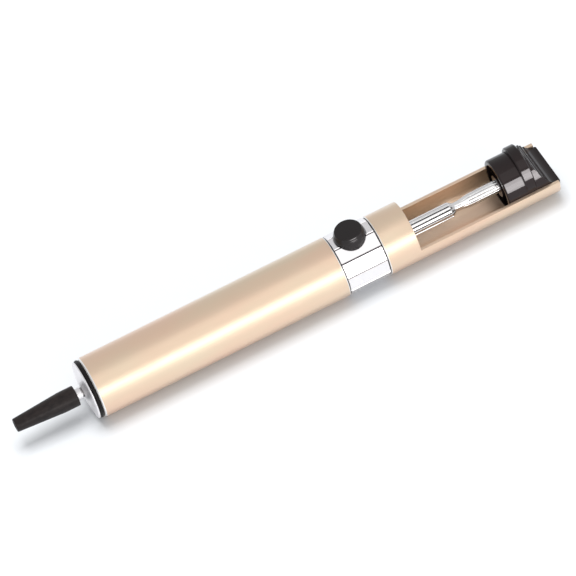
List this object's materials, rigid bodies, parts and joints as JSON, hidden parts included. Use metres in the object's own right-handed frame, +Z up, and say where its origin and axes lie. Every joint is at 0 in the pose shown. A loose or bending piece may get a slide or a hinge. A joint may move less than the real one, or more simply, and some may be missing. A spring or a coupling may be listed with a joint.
{
  "type": "desoldering pump",
  "caption": "Spring-driven desoldering pump: tapered nozzle, polished nose, round barrel, faceted collar with release button, and a plunger knob that slides in a half-open guard.",
  "frame": {"origin": "centre of the nozzle mouth, on the tube axis", "axes": "+X from the nozzle to the thumb knob, +Z towards the release button, +Z up as the pump lies on a bench"},
  "size_m": [0.1862, 0.02, 0.0228],
  "materials": {
    "ptfe_black": "matte black heat-proof plastic",
    "chrome": "mirror-polished chrome plate",
    "rubber_black": "smooth black rubber",
    "anodised_champagne": "satin champagne anodised aluminium",
    "spring_steel": "drawn spring wire",
    "steel": "turned steel",
    "polished_steel": "polished steel",
    "piston_plastic": "turned black acetal",
    "bush_plastic": "natural nylon",
    "brass": "turned brass",
    "button_black": "moulded black plastic, satin top",
    "knob_black": "glossy moulded black plastic"
  },
  "bodies": {
    "pump_body": {"barrel": "anodised_champagne", "stop_circlip": "spring_steel", "spring_stop_ring": "steel", "main_spring": "spring_steel", "bumper": "rubber_black", "collar": "chrome", "rod_bush": "bush_plastic", "button_spring": "spring_steel", "guard_tube": "anodised_champagne"},
    "plunger": {"plunger_rod": "polished_steel", "piston": "piston_plastic", "piston_seal": "rubber_black", "piston_washer": "steel", "piston_nut": "brass", "cleaning_pin": "polished_steel", "knob": "knob_black", "knob_insert": "brass"},
    "button": {"release_button": "button_black", "latch_slider": "steel"},
    "nose": {"nose_cone": "chrome", "nose_o_ring": "rubber_black"},
    "nozzle_tip": {"nozzle": "ptfe_black"}
  },
  "joints": [
    {"name": "plunger_slide", "type": "slide", "parent": "pump_body", "child": "plunger", "axis": [-1, 0, 0], "range_m": [0, 0.035], "stiffness_N_per_m": 550, "springref_m": -0.014, "deforming": ["main_spring"]},
    {"name": "button_press", "type": "slide", "parent": "pump_body", "child": "button", "axis": [0, 0, -1], "range_m": [0, 0.0018], "stiffness_N_per_m": 700, "springref_m": -0.001, "deforming": ["button_spring"]},
    {"name": "nose_pull", "type": "slide", "parent": "pump_body", "child": "nose", "axis": [-1, 0, 0], "range_m": [0, 0.0065]},
    {"name": "nozzle_pull", "type": "slide", "parent": "nose", "child": "nozzle_tip", "axis": [-1, 0, 0], "range_m": [0, 0.007]}
  ]
}
